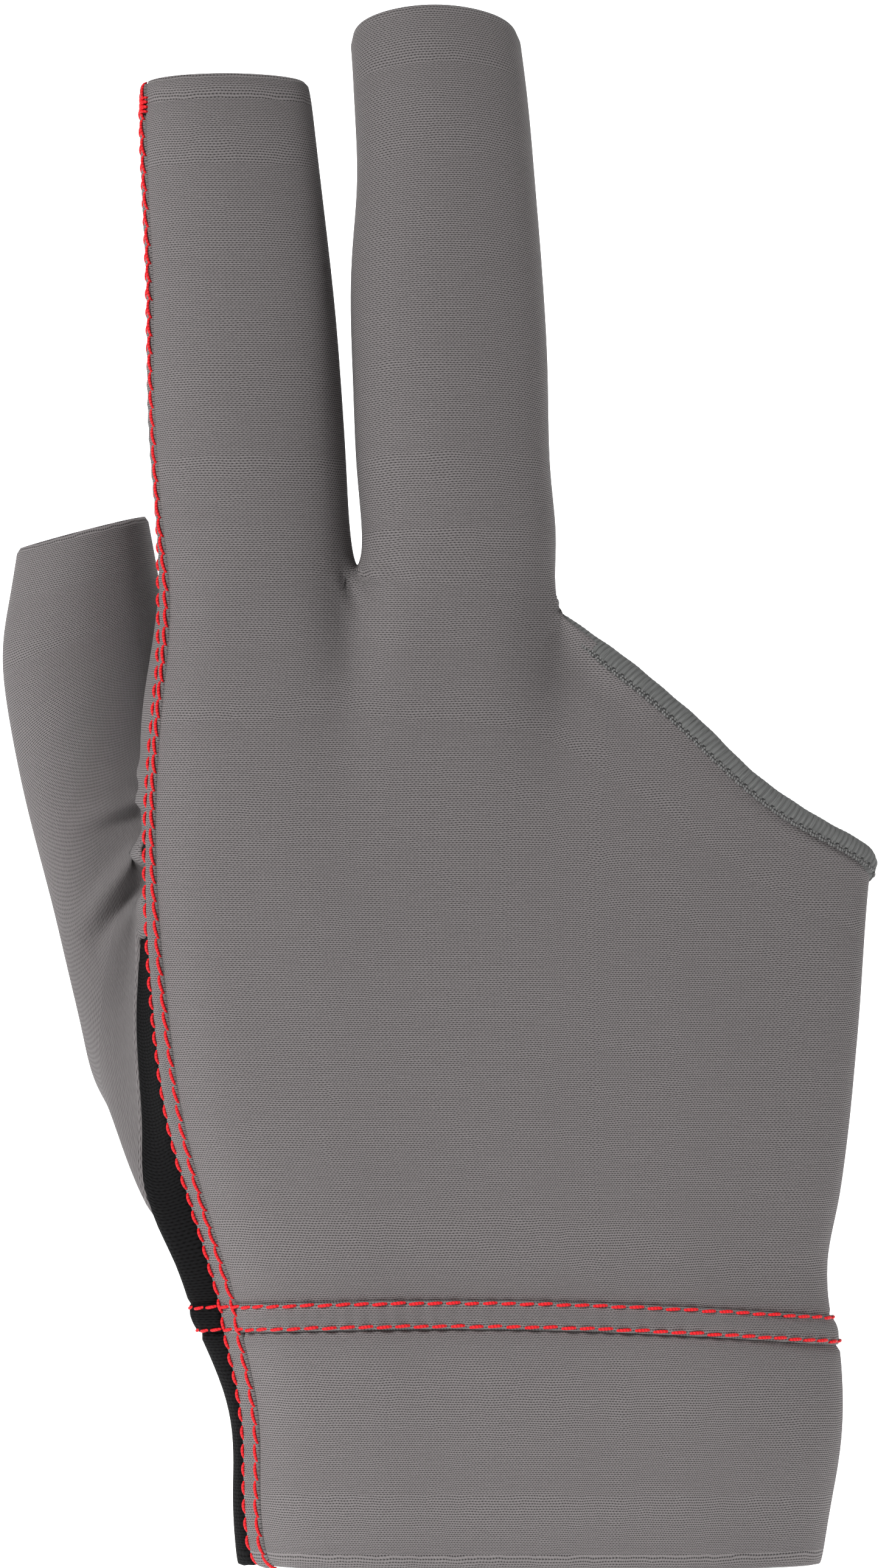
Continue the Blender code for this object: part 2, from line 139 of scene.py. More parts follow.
# The line of rows at the lower edge of the seam strip around the wrist
BAND_LINE = len(CUFF_ROWS) - 1
# The rows that the thumb's hole spans, and the first row above the black wedge
THUMB_FIRST_ROW = 1
THUMB_LAST_ROW = 6
WEDGE_ROW = 4
# Where the wrist seam is highest, as a share of the hand's width, and how fast it sags
WRIST_CREST = -0.127
WRIST_SAG = 0.0095

Section = namedtuple("Section", "rise left right depth curl lift")
INDEX_SECTIONS = [
    Section(0.090, -0.527, -0.263, 0.98, 0.003, 0.004),
    Section(0.225, -0.534, -0.268, 1.00, 0.012, 0.008),
    Section(0.415, -0.540, -0.277, 1.00, 0.030, 0.010),
    Section(0.620, -0.543, -0.290, 0.98, 0.054, 0.012),
    Section(0.810, -0.549, -0.304, 0.95, 0.080, 0.013),
    Section(0.940, -0.552, -0.315, 0.92, 0.099, 0.014),
    Section(0.985, -0.549, -0.321, 0.91, 0.105, 0.015),
]
MIDDLE_SECTIONS = [
    Section(0.065, -0.249, 0.020, 1.02, 0.004, 0.012),
    Section(0.190, -0.257, 0.011, 1.04, 0.016, 0.020),
    Section(0.350, -0.262, 0.009, 1.03, 0.040, 0.026),
    Section(0.530, -0.264, 0.001, 1.00, 0.076, 0.032),
    Section(0.700, -0.258, -0.008, 0.98, 0.118, 0.040),
    Section(0.850, -0.261, -0.020, 0.96, 0.158, 0.050),
    Section(0.941, -0.266, -0.029, 0.94, 0.184, 0.058),
]
# Where the columns lie around each sleeve, in degrees. The side seam's seam_out lies
# 9 degrees further round than in the solids, so that one row of its stitches shows.
INDEX_ANGLES = {"seam_out": 191, "seam_in": 163, "index_1": 130, "index_2": 92,
                "index_3": 55, "web": 20, "web_p": -20, "index_3_p": -58,
                "index_2_p": -98, "heel": -142}
MIDDLE_ANGLES = {"web": 160, "middle_1": 125, "middle_2": 90, "middle_3": 55, "fork": 20,
                 "fork_p": -20, "middle_3_p": -55, "middle_2_p": -90, "middle_1_p": -125,
                 "web_p": -160}

ThumbSection = namedtuple("ThumbSection", "out_x out_z in_x in_z middle half turn")
THUMB_SECTIONS = [
    ThumbSection(-0.585, 0.245, -0.462, 0.785, 0.66, 0.52, 36),
    ThumbSection(-0.630, 0.390, -0.474, 0.805, 0.72, 0.52, 30),
    ThumbSection(-0.674, 0.550, -0.490, 0.838, 0.74, 0.51, 22),
    ThumbSection(-0.718, 0.715, -0.505, 0.885, 0.74, 0.50, 14),
    ThumbSection(-0.744, 0.855, -0.520, 0.940, 0.72, 0.48, 7),
    ThumbSection(-0.736, 0.950, -0.532, 1.003, 0.70, 0.47, 3),
    ThumbSection(-0.724, 1.022, -0.544, 1.066, 0.69, 0.45, 0),
]
THUMB_EDGE = [
    ("index_2_p", 6, 0), ("heel", 6, 35), ("heel", 5, 60), ("heel", 4, 83),
    ("heel", 3, 106), ("heel", 2, 130), ("heel", 1, 156), ("index_2_p", 1, 180),
    ("index_3_p", 1, 204), ("index_3_p", 2, 230), ("index_3_p", 3, 254),
    ("index_3_p", 4, 277), ("index_3_p", 5, 300), ("index_3_p", 6, 325),
]

# Faces that no row and column line runs along get this line value
OFF_LINE = -100
TO_MM = 1000.0


class Cage:
    """Points and faces, with each face's panel, weave coordinates and line coordinates."""

    def __init__(self):
        self.points = []
        self.faces = []
        self.panels = []
        self.weave = []
        self.lines = []

    def add_point(self, point):
        self.points.append(tuple(point))
        return len(self.points) - 1

    def add_face(self, corners, panel, weave, lines):
        self.faces.append(corners)
        self.panels.append(panel)
        self.weave.extend(weave)
        self.lines.extend(lines)


def wrist_sag(x):
    """How far the wrist seam lies below its highest place."""
    return WRIST_SAG * (x / HAND_WIDTH - WRIST_CREST) ** 2


def row_x(row, column):
    """The x of a column on one row of the hand or the cuff."""
    if column.name == "seam_out":
        return row.seam_out * HAND_WIDTH
    if column.name == "heel":
        return row.heel * HAND_WIDTH
    return (row.seam_in + column.across * (row.side - row.seam_in)) * HAND_WIDTH


def cuff_point(row, column):
    """A point of the cuff. Its rows follow the wrist seam's sag as they rise."""
    x = row_x(row, column)
    reach = row.front if column.depth < 0 else row.back
    y = column.depth * reach * CUFF_DEPTH / 2
    z = row.rise * (CUFF_HEIGHT - wrist_sag(x))
    return x, y, z


def hand_point(row, column):
    """A point of the hand, from the wrist seam up to the knuckles."""
    x = row_x(row, column)
    reach = row.front if column.depth < 0 else row.back
    hand_y = column.depth * reach * HAND_DEPTH / 2
    knuckle_y = column.knuckle_depth * HAND_DEPTH / 2
    y = hand_y + (knuckle_y - hand_y) * row.knuckle
    foot = WRIST - wrist_sag(x)
    top = WRIST + column.top * HAND_HEIGHT
    z = foot + (top - foot) * row.rise
    return x, y, z


def face_panel(level, column):
    """The panel of the face above a row and after a column, or None in the thumb's hole."""
    row = level - len(CUFF_ROWS)
    name = NAMES[column]
    is_back = column <= NAMES.index("side")
    if THUMB_FIRST_ROW <= row < THUMB_LAST_ROW and name in ("index_3_p", "index_2_p"):
        return None
    if column == 0:
        return SIDE_SEAM
    if level == BAND_LINE:
        return BAND_BACK if is_back else BAND_PALM
    if row < 0:
        return CUFF_BACK if is_back else CUFF_PALM
    if name == "heel" and row >= WEDGE_ROW:
        return THUMB
    return BACK if is_back else PALM


def walk(points):
    """The distance run along a chain of points, from its first one."""
    steps = [math.dist(first, second) for first, second in zip(points, points[1:])]
    return [0.0] + list(np.cumsum(steps))


def add_hand(cage):
    """Add the cuff and the hand. Returns its upper points, top row and ways around."""
    grid = [[cuff_point(row, column) for column in COLUMNS] for row in CUFF_ROWS]
    grid += [[hand_point(row, column) for column in COLUMNS] for row in HAND_ROWS]
    rows = [[cage.add_point(point) for point in line] for line in grid]
    count = len(COLUMNS)
    middle = grid[len(CUFF_ROWS) + WEDGE_ROW]
    around = [distance * TO_MM for distance in walk(middle + middle[:1])]
    for level in range(len(rows) - 1):
        for index in range(count):
            after = (index + 1) % count
            panel = face_panel(level, index)
            if panel is None:
                continue
            places = ((level, index, 0), (level, after, 1), (level + 1, after, 1),
                      (level + 1, index, 0))
            corners = tuple(rows[line][column] for line, column, _ in places)
            weave = [(around[index + step], grid[line][column][2] * TO_MM)
                     for line, column, step in places]
            lines = [(index + step, line) for line, _, step in places]
            cage.add_face(corners, panel, weave, lines)
    return rows[len(CUFF_ROWS):], grid[-1], around


def sleeve_point(section, angle, length):
    """A point on a finger sleeve's section."""
    middle_x = (section.left + section.right) / 2 * HAND_WIDTH
    half_width = (section.right - section.left) / 2 * HAND_WIDTH
    turn = math.radians(angle)
    x = middle_x + half_width * math.cos(turn)
    y = section.curl * length - section.depth * SLEEVE_DEPTH / 2 * math.sin(turn)
    z = WRIST + WEB_RISE * HAND_HEIGHT + (section.rise + section.lift * math.sin(turn)) * length
    return x, y, z


def add_sleeve(cage, knuckles, tops, around, sections, angles, length, line_start):
    """Add a finger sleeve on its part of the knuckle row."""
    names = list(angles)
    ring = [knuckles[NAMES.index(name)] for name in names]
    first = NAMES.index(names[0])
    back_count = sum(1 for name in names if not (name.endswith("_p") or name == "heel"))
    section_ring = [sleeve_point(sections[1], angles[name], length) for name in names]
    own = [distance * TO_MM for distance in walk(section_ring + section_ring[:1])]
    run = [around[first + index] if index < back_count
           else around[first + back_count - 1] + own[index] - own[back_count - 1]
           for index in range(len(names) + 1)]
    lower = [tops[NAMES.index(name)][2] * TO_MM for name in names]
    for level, section in enumerate(sections):
        points = [sleeve_point(section, angles[name], length) for name in names]
        upper = [cage.add_point(point) for point in points]
        height = (WRIST + WEB_RISE * HAND_HEIGHT + section.rise * length) * TO_MM
        for index, name in enumerate(names):
            after = (index + 1) % len(names)
            panel = SIDE_SEAM if name == "seam_out" else BACK
            corners = (ring[index], ring[after], upper[after], upper[index])
            weave = [(run[index], lower[index]), (run[index + 1], lower[after]),
                     (run[index + 1], height), (run[index], height)]
            line = line_start + level
            lines = [(OFF_LINE, 0)] * 4
            if line_start:
                lines = [(index, line), (index + 1, line), (index + 1, line + 1),
                         (index, line + 1)]
            cage.add_face(corners, panel, weave, lines)
        ring = upper
        lower = [height] * len(names)


def thumb_point(section, angle):
    """A point on one of the thumb's sections."""
    outer, inner = (np.array([x * HAND_WIDTH, 0, WRIST + z * HAND_HEIGHT]) for x, z in
                    ((section.out_x, section.out_z), (section.in_x, section.in_z)))
    middle = (outer + inner) / 2
    middle[1] = section.middle * THUMB_DEPTH
    turn = math.radians(section.turn)
    back = np.array([-math.sin(turn), -math.cos(turn), 0]) * section.half * THUMB_DEPTH
    around = math.radians(angle)
    return middle + (inner - outer) / 2 * math.cos(around) + back * math.sin(around)


def add_thumb(cage, hand_rows):
    """Add the thumb sleeve on the edge of its hole."""
    ring = [hand_rows[row][NAMES.index(name)] for name, row, _ in THUMB_EDGE]
    girth = [thumb_point(THUMB_SECTIONS[3], angle) for _, _, angle in THUMB_EDGE]
    around = [distance * TO_MM for distance in walk(girth + girth[:1])]
    side = [thumb_point(section, 120) for section in THUMB_SECTIONS]
    base = np.array(cage.points[hand_rows[2][NAMES.index("heel")]])
    along = [distance * TO_MM for distance in walk([base] + side)]
    for level, section in enumerate(THUMB_SECTIONS):
        upper = [cage.add_point(thumb_point(section, angle)) for _, _, angle in THUMB_EDGE]
        for index in range(len(ring)):
            after = (index + 1) % len(ring)
            corners = (ring[after], ring[index], upper[index], upper[after])
            weave = [(around[index + 1], along[level]), (around[index], along[level]),
                     (around[index], along[level + 1]), (around[index + 1], along[level + 1])]
            cage.add_face(corners, THUMB, weave, [(OFF_LINE, 0)] * 4)
        ring = upper


def glove_cage():
    """The whole glove as a cage, with the opening's points at its side and its fork."""
    cage = Cage()
    hand_rows, tops, around = add_hand(cage)
    knuckles = hand_rows[-1]
    line_start = len(CUFF_ROWS) + len(HAND_ROWS) - 1
    add_sleeve(cage, knuckles, tops, around, INDEX_SECTIONS, INDEX_ANGLES, INDEX_LENGTH,
               line_start)
    add_sleeve(cage, knuckles, tops, around, MIDDLE_SECTIONS, MIDDLE_ANGLES, MIDDLE_LENGTH, 0)
    add_thumb(cage, hand_rows)
    return cage, knuckles[NAMES.index("side")], knuckles[NAMES.index("fork")]


def read_values(items, name, width):
    """One value of every item of a mesh collection as an array of rows."""
    values = np.empty(len(items) * width)
    items.foreach_get(name, values)
    return values.reshape(-1, width)


def reached_mesh(helper):
    """The helper's mesh with its modifiers."""
    bpy.context.view_layer.update()
    return helper.evaluated_get(bpy.context.evaluated_depsgraph_get()).data


def add_object(name, data):
    """Add an object to the scene."""
    thing = bpy.data.objects.new(name, data)
    bpy.context.scene.collection.objects.link(thing)
    return thing


class Surface:
    """The whole glove's smooth surface at one level of subdivision."""

    def __init__(self, mesh):
        self.points = read_values(mesh.vertices, "co", 3)
        self.normals = read_values(mesh.vertices, "normal", 3)
        self.quads = read_values(mesh.loops, "vertex_index", 1).astype(int).reshape(-1, 4)
        self.panels = read_values(mesh.polygons, "material_index", 1).astype(int).ravel()
        self.weave = read_values(mesh.uv_layers["weave"].data, "uv", 2).reshape(-1, 4, 2)
        self.lines = read_values(mesh.uv_layers["lines"].data, "uv", 2).reshape(-1, 4, 2)


def smooth_surfaces(cage, levels):
    """Fit the cage so that its smooth surface passes through its points, and smooth it."""
    target = np.array(cage.points)
    mesh = bpy.data.meshes.new("cage")
    mesh.from_pydata(cage.points, [], cage.faces)
    for panel in PANELS:
        mesh.materials.append(bpy.data.materials.new("cage_" + panel))
    mesh.polygons.foreach_set("material_index", cage.panels)
    for name, values in (("weave", cage.weave), ("lines", cage.lines)):
        mesh.uv_layers.new(name=name).data.foreach_set("uv", np.array(values).ravel())
    helper = add_object("cage", mesh)
    smooth = helper.modifiers.new("smooth", "SUBSURF")
    smooth.uv_smooth = "NONE"
    smooth.levels = 1
    for _ in range(FIT_ROUNDS):
        reached = read_values(reached_mesh(helper).vertices, "co", 3)
        moved = read_values(mesh.vertices, "co", 3) + target - reached[:len(target)]
        mesh.vertices.foreach_set("co", moved.ravel())
        mesh.update()
    surfaces = {}
    for level in levels:
        smooth.levels = level
        surfaces[level] = Surface(reached_mesh(helper))
    bpy.data.objects.remove(helper, do_unlink=True)
    for material in list(mesh.materials):
        bpy.data.materials.remove(material)
    bpy.data.meshes.remove(mesh)
    return surfaces


def unit(vectors):
    """Vectors of length one."""
    length = np.linalg.norm(vectors, axis=-1, keepdims=True)
    return vectors / np.maximum(length, 1e-12)


def boundary_edges(quads):
    """The boundary edges of some faces, in the faces' direction."""
    first = quads.ravel()
    second = np.roll(quads, -1, axis=1).ravel()
    span = quads.max() + 1
    inside = np.isin(first * span + second, second * span + first)
    return first[~inside], second[~inside]


def edge_loop(first, second, start):
    """The loop of boundary edges through a point."""
    following = dict(zip(first.tolist(), second.tolist()))
    loop = [start]
    while following[loop[-1]] != start:
        loop.append(following[loop[-1]])
    return loop


def inward_of(surface, first, second):
    """The directions in the surface that lead from boundary edges into the cloth."""
    along = surface.points[second] - surface.points[first]
    normal = surface.normals[first] + surface.normals[second]
    return unit(np.cross(normal, along))


# When two edges count as straight, and the longest step of a mitre between edges
STRAIGHT_COSINE = 0.98
LONGEST_MITRE = 1.5


def pull_back(before, after, set_before, set_after):
    """The steps that move corners in from both of their edges, with a bounded mitre."""
    cosine = np.sum(before * after, axis=1, keepdims=True)
    bounded = np.minimum(cosine, STRAIGHT_COSINE)
    first = (set_before - bounded * set_after) / (1 - bounded ** 2)
    second = (set_after - bounded * set_before) / (1 - bounded ** 2)
    step = before * first + after * second
    straight = unit(before + after) * (set_before + set_after) / 2
    step = np.where(cosine > STRAIGHT_COSINE, straight, step)
    longest = LONGEST_MITRE * np.maximum(np.abs(set_before), np.abs(set_after))
    length = np.linalg.norm(step, axis=1, keepdims=True)
    return step * np.minimum(1, longest / np.maximum(length, 1e-12))


def grain(points, length):
    """Slow waves over the cloth, between -1 and 1, each about a length long."""
    ways = ((1.0, 0.3, 0.8, 0.0), (-0.6, 0.5, 1.1, 1.7), (0.9, -0.4, -0.7, 4.1),
            (0.2, 1.0, 1.3, 2.6), (-1.2, 0.2, 0.35, 5.2))
    total = sum(np.sin((points @ np.array(way[:3])) * 2 * math.pi / length + way[3])
                for way in ways)
    return total / len(ways)


# Folds: both ends on the front view in millimetres, the half width and the
# height. A negative height is a valley.
Fold = namedtuple("Fold", "x0 z0 x1 z1 width height")
# How high a fold is at its first end, and how fast it grows along its run
FOLD_START = 0.1
FOLD_GROWTH = 5.0
THUMB_FOLDS = [
    Fold(-53.0, 99.8, -65.0, 85.5, 1.6, 1.90),
    Fold(-53.0, 96.6, -62.5, 84.0, 1.2, -2.00),
    Fold(-53.5, 105.2, -64.5, 101.6, 1.5, 1.00),
    Fold(-53.5, 103.0, -64.0, 99.6, 1.2, -0.95),
    Fold(-53.5, 108.6, -61.0, 107.2, 1.3, 0.55),
    Fold(-53.0, 93.2, -60.5, 82.5, 1.6, 0.80),
    Fold(-55.0, 88.0, -62.0, 76.0, 2.2, 0.55),
]
WEB_FOLDS = [
    Fold(-25.6, 136.6, -21.6, 131.4, 0.6, -0.95),
    Fold(-26.6, 136.0, -22.8, 130.4, 0.6, 0.60),
    Fold(-27.8, 135.8, -24.2, 129.6, 0.6, -0.50),
    Fold(-28.8, 135.4, -25.4, 129.4, 0.7, 0.35),
    Fold(-24.4, 137.2, -19.4, 133.0, 0.8, 0.60),
    Fold(-22.8, 137.4, -17.2, 134.4, 0.9, -0.30),
]
HAND_FOLDS = [
    Fold(2.4, 133.0, 9.5, 122.0, 1.6, 1.10),
    Fold(4.5, 124.0, 13.5, 114.5, 2.2, -0.60),
    Fold(-50.0, 40.0, -40.0, 39.2, 1.4, -0.25),
    Fold(20.0, 39.5, 39.0, 40.5, 1.8, -0.35),
    Fold(30.0, 42.5, 41.0, 46.5, 2.2, 0.35),
]


def fold_relief(points, folds):
    """How far folds push the cloth out, in metres. They fade towards their ends."""
    flat = points[:, (0, 2)] * TO_MM
    relief = np.zeros(len(points))
    for fold in folds:
        start = np.array([fold.x0, fold.z0])
        run = np.array([fold.x1, fold.z1]) - start
        length = np.linalg.norm(run)
        along = np.clip((flat - start) @ run / length ** 2, 0, 1)
        away = np.linalg.norm(flat - start - along[:, None] * run, axis=1)
        fade = (1 - along ** 2) * np.clip(FOLD_START + along * FOLD_GROWTH, 0, 1)
        relief += fold.height * fade * np.exp(-(away / fold.width) ** 2)
    return relief / TO_MM


# Waves in all the cloth: their length and height in metres, and their turn of the axes
WAVES = ((0.034, 0.00018, (0, 1, 2)), (0.017, 0.00006, (1, 2, 0)))
# Puckers of the seam strips: millimetres apart, metres high, and their share at an edge
PUCKER_PITCH = 2.4
PUCKER_HEIGHT = 0.00007
PUCKER_AT_EDGE = 0.4


def panel_relief(panel, points, normals, lines):
    """How far a panel's cloth is pushed out at each point, in metres."""
    on_back = normals[:, 1] < 0
    soft = sum(grain(points[:, axes], length) * height for length, height, axes in WAVES)
    if panel == THUMB:
        return soft + np.where(on_back, fold_relief(points, THUMB_FOLDS), 0)
    if panel == BACK:
        return soft + np.where(on_back, fold_relief(points, WEB_FOLDS + HAND_FOLDS), 0)
    if panel in STRIPS:
        across = lines[:, 0] if panel == SIDE_SEAM else lines[:, 1] - BAND_LINE
        crown = np.sin(np.clip(across, 0, 1) * math.pi)
        travel = points[:, 2] if panel == SIDE_SEAM else points[:, 0] - points[:, 1]
        pucker = np.sin(travel * TO_MM * 2 * math.pi / PUCKER_PITCH)
        share = PUCKER_AT_EDGE + (1 - PUCKER_AT_EDGE) * crown
        return soft + SEAM_PUFF * crown + PUCKER_HEIGHT * pucker * share
    return soft


# How far the edges of panels and of seam strips roll down, as a share of their wall
EDGE_ROLL = 0.35
STRIP_ROLL = 0.12
# How far panels reach under the seam strips, the strips draw back and the cloth's edge
# lies inside the binding, in metres
STRIP_UNDERLAP = 0.0004
STRIP_DEPTH = 0.00005
BINDING_SEAT = 0.0006


def panel_wall(surface, panel, rim, wall):
    """One panel as a wall of cloth: its points, faces and weave coordinates."""
    own = surface.panels == panel
    quads = surface.quads[own]
    weave = surface.weave[own]
    used, place = np.unique(quads, return_inverse=True)
    place = place.reshape(quads.shape)
    lines = np.zeros((len(used), 2))
    lines[place.ravel()] = surface.lines[own].reshape(-1, 2)
    first, second = boundary_edges(quads)
    rim_edges = set(zip(rim, rim[1:] + rim[:1]))
    edge_depth, edge_roll = -STRIP_UNDERLAP, EDGE_ROLL
    if panel in STRIPS:
        edge_depth, edge_roll = STRIP_DEPTH, STRIP_ROLL
    depth = np.array([BINDING_SEAT if edge in rim_edges else edge_depth
                      for edge in zip(first.tolist(), second.tolist())])
    inward = inward_of(surface, first, second)
    entering = {corner: index for index, corner in enumerate(second.tolist())}
    before = np.array([entering[corner] for corner in first.tolist()])
    start = np.searchsorted(used, first)
    end = np.searchsorted(used, second)
    normals = surface.normals[used]
    relief = panel_relief(panel, surface.points[used], normals, lines)
    points = surface.points[used]
    points[start] += pull_back(inward[before], inward, depth[before][:, None],
                               depth[:, None])
    roll = np.zeros(len(used))
    roll[start] = edge_roll * wall
    outer = points + normals * (relief - roll)[:, None]
    inner = points + normals * (relief - wall + roll)[:, None]
    count = len(used)
    border = np.stack([end, start, start + count, end + count], axis=1)
    faces = np.concatenate([place, place[:, ::-1] + count, border])
    point_weave = np.zeros((count, 2))
    point_weave[place.ravel()] = weave.reshape(-1, 2)
    around = np.concatenate([weave, weave[:, ::-1], point_weave[border % count]])
    return np.concatenate([outer, inner]), faces, around


def add_piece(name, points, faces, material, weave):
    """Add one piece of the glove, smooth, with its weave coordinates."""
    mesh = bpy.data.meshes.new(name)
    mesh.from_pydata([tuple(point) for point in points], [], [tuple(face) for face in faces])
    mesh.polygons.foreach_set("use_smooth", [True] * len(mesh.polygons))
    mesh.uv_layers.new(name="weave").data.foreach_set("uv", np.asarray(weave).ravel())
    mesh.materials.append(material)
    piece = add_object(name, mesh)
    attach(piece, "root")
    return piece


# Topstitches: the distance from one to the next, the share of it that a thread runs, and
# how far its ends slant sideways. The looped ones are the side seam's inner row.
STITCH_PITCH = 0.0025
STITCH_SHARE = 0.86
LOOPED_SHARE = 1.16
STITCH_SLANT = 0.00008
LOOPED_SLANT = 0.00020
# How far a row lies in from its line, and how far and how fast stitches stray from it
STITCH_INSET = 0.00045
STITCH_WOBBLE = 0.00005
WOBBLE_STEP = 2.4
# The thread: its radius, also at a stitch's ends, and its steep climb out of the cloth
THREAD_RADIUS = 0.00023
STITCH_END = 0.55
STITCH_RISE = 0.00034
STITCH_CROWN = 1.9
STITCH_DIVE = 0.9
STITCH_CLIMB = 0.4
THREAD_ROUNDING = 0.5
STITCH_SIDES = 8
STITCH_RINGS = 9


def line_path(surface, axis, value):
    """The surface's points and normals along one column (axis 0) or row (axis 1) line."""
    on_line = np.abs(surface.lines[:, :, axis] - value) < 1e-4
    other = surface.lines[:, :, 1 - axis][on_line]
    corners = surface.quads[on_line]
    keys, chosen = np.unique(np.round(other, 4), return_index=True)
    keep = chosen[keys >= 0]
    return surface.points[corners[keep]], surface.normals[corners[keep]]


def read_along(stops, distance, values):
    """Values of a path's points, read at some distances along it."""
    return np.stack([np.interp(stops, distance, values[:, axis]) for axis in range(3)],
                    axis=1)


def resample(points, normals, pitch):
    """Places evenly spaced along a path, with their normals and distances along it."""
    distance = np.array(walk(points))
    count = max(2, int(round(distance[-1] / pitch)))
    stops = np.linspace(0, distance[-1], count + 1)
    return (read_along(stops, distance, points),
            unit(read_along(stops, distance, normals)), stops)


def tube(centres, normals, sides, radii):
    """A closed tube around a chain of centres."""
    along = unit(np.gradient(centres, axis=0))
    across = unit(np.cross(along, normals))
    upright = np.cross(across, along)
    turns = np.arange(sides) * 2 * math.pi / sides
    rings = (centres[:, None] + radii[:, None, None]
             * (across[:, None] * np.cos(turns)[None, :, None]
                + upright[:, None] * np.sin(turns)[None, :, None]))
    count = len(centres)
    index = np.arange(sides)
    after = (index + 1) % sides
    faces = []
    for ring in range(count - 1):
        low, high = ring * sides, (ring + 1) * sides
        faces += [(low + a, low + b, high + b, high + a) for a, b in zip(index, after)]
    faces.append(tuple(reversed(range(sides))))
    faces.append(tuple(range((count - 1) * sides, count * sides)))
    return rings.reshape(-1, 3), faces


def arch(share, power=1):
    """A curve from 0 at a thread's ends to 1 at its middle, flatter for a lower power."""
    return np.sin(share * math.pi) ** power


def taper(share, radius, end_share, power=1):
    """A thread's radii, from a share of its radius at its ends to all of it."""
    return radius * (end_share + (1 - end_share) * arch(share, power))


def stitch_height(share, crown):
    """How high a stitch's thread lies over the cloth along its run."""
    return STITCH_RISE * (arch(share, STITCH_CLIMB) * crown - STITCH_DIVE)


class Threads:
    """Many short thread tubes gathered into one mesh."""

    def __init__(self):
        self.points = []
        self.faces = []
        self.weave = []

    def add(self, centres, normals, radii, sides=STITCH_SIDES):
        points, faces = tube(centres, normals, sides, radii)
        base = sum(len(part) for part in self.points)
        lengths = np.repeat(np.array(walk(centres)) * TO_MM, sides)
        turns = np.tile(np.arange(sides) / sides, len(centres))
        for face in faces:
            self.faces.append(tuple(base + corner for corner in face))
            self.weave += [(turns[corner], lengths[corner]) for corner in face]
        self.points.append(points)

    def piece(self, name, material):
        return add_piece(name, np.concatenate(self.points), self.faces, material, self.weave)


def stitch_row(threads, points, normals, inset, slant, share_of_pitch):
    """Lay a row of topstitches along a path, set in from it sideways."""
    stops, upright, _ = resample(points, normals, STITCH_PITCH)
    share = np.linspace(0, 1, STITCH_RINGS)
    height = stitch_height(share, STITCH_CROWN)
    radii = taper(share, THREAD_RADIUS, STITCH_END, THREAD_ROUNDING)
    for index, (start, end) in enumerate(zip(stops, stops[1:])):
        normal = unit(upright[index] + upright[index + 1])
        along = unit(end - start)
        side = np.cross(normal, along)
        run = np.linalg.norm(end - start) * share_of_pitch
        wobble = STITCH_WOBBLE * math.sin(index * WOBBLE_STEP)
        centres = ((start + end) / 2 + np.outer(share - 0.5, along) * run
                   + np.outer(height, normal)
                   + np.outer(-slant * np.cos(share * math.pi), side)
                   + side * (inset + wobble))
        threads.add(centres, np.tile(normal, (STITCH_RINGS, 1)), radii)


def side_stitches(surface, material):
    """Both rows of topstitching on the side seam, and the bar tack at the sleeve's tip."""
    threads = Threads()
    outer, outer_normals = line_path(surface, 0, 0)
    stitch_row(threads, outer, outer_normals, -STITCH_INSET, STITCH_SLANT, STITCH_SHARE)
    inner, inner_normals = line_path(surface, 0, 1)
    stitch_row(threads, inner, inner_normals, STITCH_INSET, LOOPED_SLANT, LOOPED_SHARE)
    bar_tack(threads, inner, inner_normals)
    return threads.piece("side_topstitching", material)


# The bar tack: its distance from the sleeve's tip, its width and its threads
TACK_DROP = 0.0032
TACK_WIDTH = 0.0019
TACK_THREADS = 6
TACK_SPREAD = 0.00034
TACK_LEAN = 0.0003
TACK_CROWN = 2.3
TACK_END = 0.6
TACK_SEARCH = 0.0002


def bar_tack(threads, points, normals):
    """A dense knot of thread that locks the side seam at the sleeve's tip."""
    place, upright, stops = resample(points, normals, TACK_SEARCH)
    spot = int(np.searchsorted(stops, stops[-1] - TACK_DROP))
    along = unit(place[spot + 1] - place[spot - 1])
    normal = upright[spot]
    side = np.cross(normal, along)
    share = np.linspace(0, 1, STITCH_RINGS)
    height = stitch_height(share, TACK_CROWN)
    radii = taper(share, THREAD_RADIUS, TACK_END, THREAD_ROUNDING)
    for index in range(TACK_THREADS):
        shift = (index - (TACK_THREADS - 1) / 2) * TACK_SPREAD
        lean = TACK_LEAN * (-1) ** index
        centres = (place[spot] + along * shift + np.outer((share - 0.5) * TACK_WIDTH, side)
                   + np.outer((share - 0.5) * lean, along) + np.outer(height, normal))
        threads.add(centres, np.tile(normal, (STITCH_RINGS, 1)), radii)


def cuff_stitches(surface, material):
    """Both rows of topstitching around the wrist."""
    threads = Threads()
    for line, inset in ((BAND_LINE, STITCH_INSET), (BAND_LINE + 1, -STITCH_INSET)):
        points, normals = line_path(surface, 1, line)
        stitch_row(threads, points, normals, inset, STITCH_SLANT, STITCH_SHARE)
    return threads.piece("wrist_topstitching", material)


# The binding's mesh: rings for each millimetre along it, and points around a ring
BINDING_RINGS_PER_MM = 4
BINDING_SIDES = 32
# Its thread's turns: their distance in millimetres, their height and their lean
BINDING_WRAP_PITCH = 0.75
BINDING_WRAP_HEIGHT = 0.00008
BINDING_WRAP_LEAN = 1.5
# Its unevenness: two waves' heights, and their radians for a millimetre
FINE_WAVE, FINE_RATE = 0.00003, 1.31
SLOW_WAVE, SLOW_RATE = 0.00006, 0.42
# The chain's loops: their distance, their thread, and where around the binding they lie
CHAIN_PITCH = 0.0015
CHAIN_RADIUS = 0.00021
CHAIN_END = 0.6
CHAIN_ANGLE = 38
CHAIN_RINGS = 7
CHAIN_SIDES = 6
